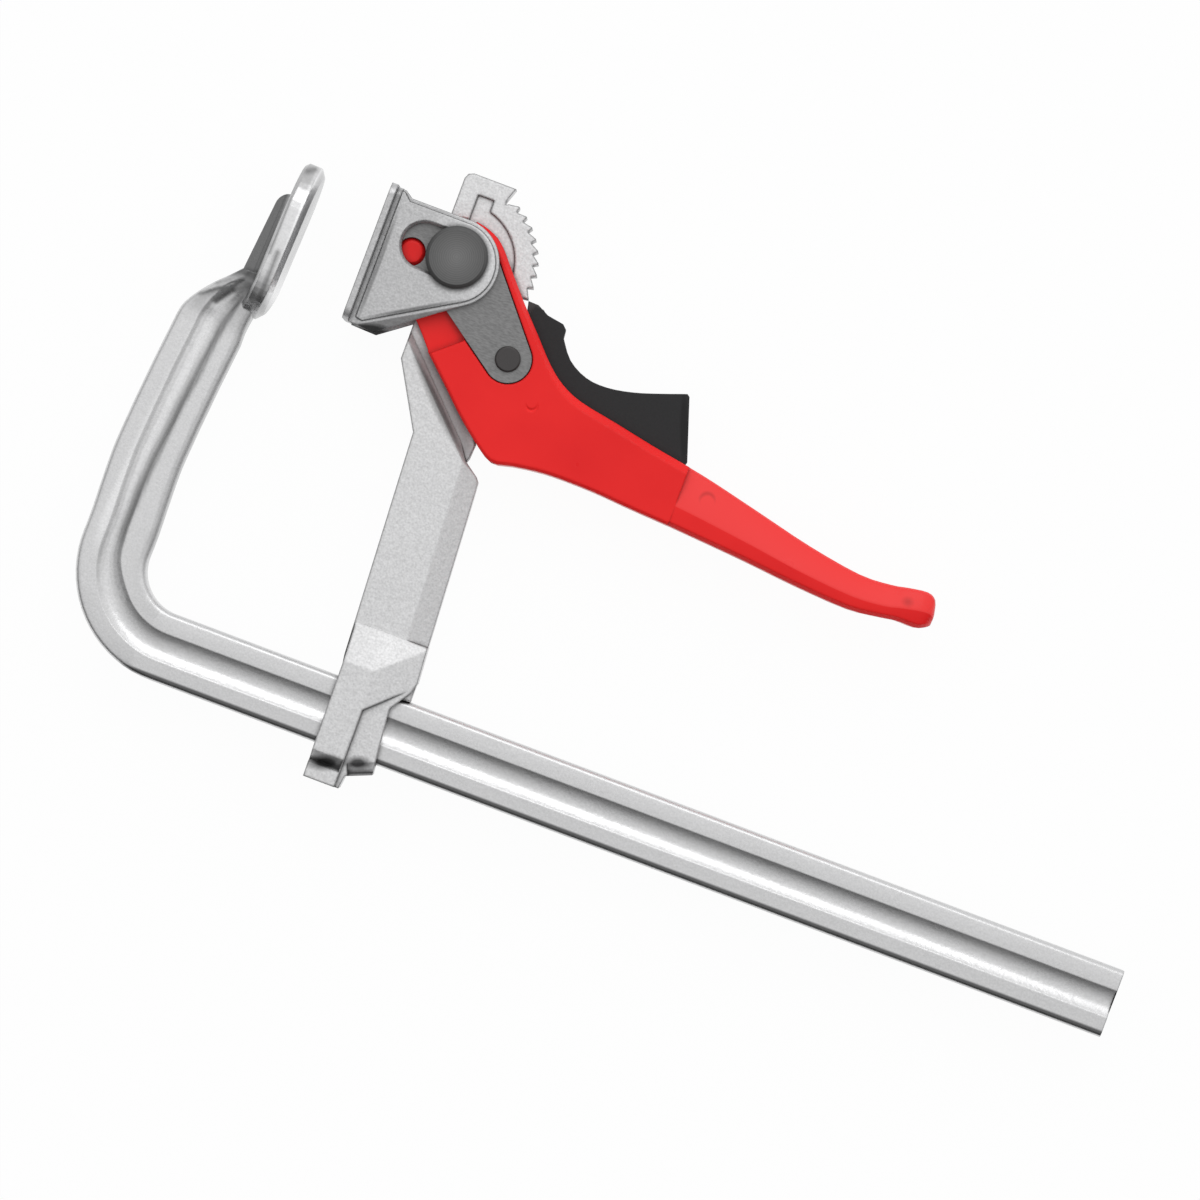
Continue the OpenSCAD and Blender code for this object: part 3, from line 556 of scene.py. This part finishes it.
def crescent(material, centre, radius, away):
    """1 in a crescent: a round spot less the same spot moved by away, in millimetres."""
    nodes, links = material.node_tree.nodes, material.node_tree.links
    whole = blot(material, centre, (radius, radius), 0, 0.3)
    hidden = blot(material, (centre[0] + away[0], centre[1] + away[1]), (radius, radius), 0, 0.3)
    return product(nodes, links, whole, spread(nodes, links, hidden, 1, 0, 0, 1))


pad_zinc = zinc_plate("pad_zinc", 1.6, (0.50, 0.50, 0.505), (0.36, 0.48), corner_shade=0.15,
                      edge_shade=0.3, shine=0.85)
# Painted shade on the strip under the cheek, which faces down
stain_and_shade(pad_zinc, blot(pad_zinc, (34.5, -18.6), (10.5, 2.6), 17, 0.5), 0.16)
# A painted highlight on the round end of the cheek; then painted shade along the plate's seam and the
# cheek's low edge
stain_and_shade(pad_zinc, crescent(pad_zinc, pivot, 15.9, (-3.0, -1.1)), 1.5)
stain_and_shade(pad_zinc, blot(pad_zinc, (29.9, 3), (1.1, 24), 0, 0.5), 0.55)
stain_and_shade(pad_zinc, blot(pad_zinc, (46, -6.9), (22, 0.9), 30.9, 0.7), 0.4)
coat(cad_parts["pressure_pad"], pad_zinc)

# ---------------------------------------------------------------------------
# The lever. A tough casting, powder coated red: a smooth satin coat, painted
# paler on the grip's upper facets as a painted highlight, and knocked in a few places.
lever = clean_copy("lever", 24)
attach(lever, "lever")
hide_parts("lever")


def red_coat(name):
    """Red powder coat, with a faint orange peel."""
    m, nodes, links, bsdf = metal(name, (0.76, 0.018, 0.018), 0.36, 0.0012)
    bsdf.inputs["Metallic"].default_value = 0
    bsdf.inputs["Specular IOR Level"].default_value = 0.2
    peel = grain(nodes, links, 260, 2)
    cloud = grain(nodes, links, 30, 3)
    clouded = tint(nodes, links, spread(nodes, links, cloud, 0, 1),
                   (0.80, 0.012, 0.013), (0.88, 0.018, 0.017))
    links.new(clouded, bsdf.inputs["Base Color"])
    links.new(spread(nodes, links, cloud, 0.27, 0.36), bsdf.inputs["Roughness"])
    raise_by(nodes, links, peel, 0.00002, bsdf)
    return m


red = red_coat("red_powder_coat")
nodes, links = red.node_tree.nodes, red.node_tree.links
# Painted highlight: the grip's upper facets, which face the light, are made paler
count = len(lever.data.polygons)
face_turn, face_spot = np.empty(3 * count), np.empty(3 * count)
lever.data.polygons.foreach_get("normal", face_turn)
lever.data.polygons.foreach_get("center", face_spot)
face_turn, face_spot = face_turn.reshape(-1, 3), face_spot.reshape(-1, 3)
lit_facets = (face_turn[:, 0] * 0.35 + face_turn[:, 1] * 0.94 > 0.05) & (np.abs(face_turn[:, 2]) > 0.4)
lit_facets = (lit_facets & (face_spot[:, 0] > 0.155)).astype(float)
lever.data.attributes.new("lit_facets", "FLOAT", "FACE").data.foreach_set("value", lit_facets)
sheen = nodes.new("ShaderNodeAttribute")
sheen.attribute_name = "lit_facets"
pale = nodes.new("ShaderNodeMix")
pale.data_type = "RGBA"
base = nodes["Principled BSDF"].inputs["Base Color"]
pale.inputs["B"].default_value = (0.89, 0.042, 0.041, 1)
links.new(sheen.outputs["Fac"], pale.inputs["Factor"])
links.new(base.links[0].from_socket, pale.inputs["A"])
links.new(pale.outputs["Result"], base)

# A shallow bright nick, a bruise on the grip and a dark spot near its end
nick = crescent(red, (96.9, -23.4), 2.4, (-0.4, 1.0))
raise_by(nodes, links, spread(nodes, links, nick, 1, 0, 0, 1), 0.0004, nodes["Principled BSDF"])
stain_and_shade(red, nick, 1.12)
bruise = crescent(red, (165.3, -32.2), 3.2, (0.4, -1.2))
stain_and_shade(red, bruise, 0.72)
stain_and_shade(red, blot(red, (243, -41), (2.6, 2.2), 0, 0.8), 0.72)
# Painted shade in the lever's corners and seams
darken(red, painted_corner_shade(nodes, links, 0.003, 0.6))
lever.data.materials.append(red)

# ---------------------------------------------------------------------------
# The side plates. Hardened steel plate, blanked and ground; they push the pad.


def ground_plate(name):
    """Grey hardened plate with a ground grain along its length."""
    m, nodes, links, bsdf = metal(name, (0.20, 0.20, 0.20), 0.44, 0.0003)
    lines = grain(nodes, links, 700, 3, (1, 3, 1))
    lined = tint(nodes, links, spread(nodes, links, lines, 0, 1),
                 (0.165, 0.165, 0.165), (0.25, 0.25, 0.25))
    links.new(lined, bsdf.inputs["Base Color"])
    links.new(spread(nodes, links, lines, 0.38, 0.5), bsdf.inputs["Roughness"])
    raise_by(nodes, links, lines, 0.00001, bsdf)
    return m


plate_finish = ground_plate("ground_plate")
for name in ("side_plate_front", "side_plate_back"):
    coat(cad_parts[name], plate_finish)

# ---------------------------------------------------------------------------
# The rivet and the pawl on it. The rivet is closed over the plates, the pawl
# is hardened steel and stays in the dark of the lever's channel.
for name in ("pawl_rivet", "pawl"):
    coat(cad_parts[name], dark_steel(name + "_steel", (0.066, 0.062, 0.062), 0.4))

# ---------------------------------------------------------------------------
# The release trigger. Moulded in black plastic with a matt, finely grained
# surface; it carries the pawl and turns on the same rivet.


def black_moulding(name):
    """Matt black plastic with a spark-eroded grain and a painted highlight on its rounded edges."""
    m, nodes, links, bsdf = metal(name, (0.022, 0.022, 0.023), 0.5, 0.0006)
    # Painted highlight: the rounding of each edge is lighter
    wear_and_sheen = tint(nodes, links, edges(nodes, links, 0), (0.055, 0.055, 0.056), (0.019, 0.019, 0.02))
    links.new(wear_and_sheen, bsdf.inputs["Base Color"])
    bsdf.inputs["Metallic"].default_value = 0
    bsdf.inputs["Specular IOR Level"].default_value = 0.25
    fine = grain(nodes, links, 1300, 3)
    links.new(spread(nodes, links, fine, 0.44, 0.6), bsdf.inputs["Roughness"])
    raise_by(nodes, links, fine, 0.00003, bsdf)
    return m


moulding = black_moulding("black_moulding")
stain_and_shade(moulding, blot(moulding, (149.1, -11.9), (14, 1.8), 110.6, 0.4), 0.55)
coat(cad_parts["trigger"], moulding)

# ---------------------------------------------------------------------------
# The return spring. Drawn spring wire, bright, standing between the lever's
# web and the trigger.
spring = clean_copy("trigger_spring", 30)
low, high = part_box("trigger_spring")
across, deep = (low[0] + high[0]) / 2, (low[2] + high[2]) / 2
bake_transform(spring)
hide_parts("trigger_spring")
spring.data.materials.append(zinc_plate("spring_wire", 0.3, (0.5, 0.5, 0.5)))

# ---------------------------------------------------------------------------
# The box round all the shown pieces, backdrops left out
low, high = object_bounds()
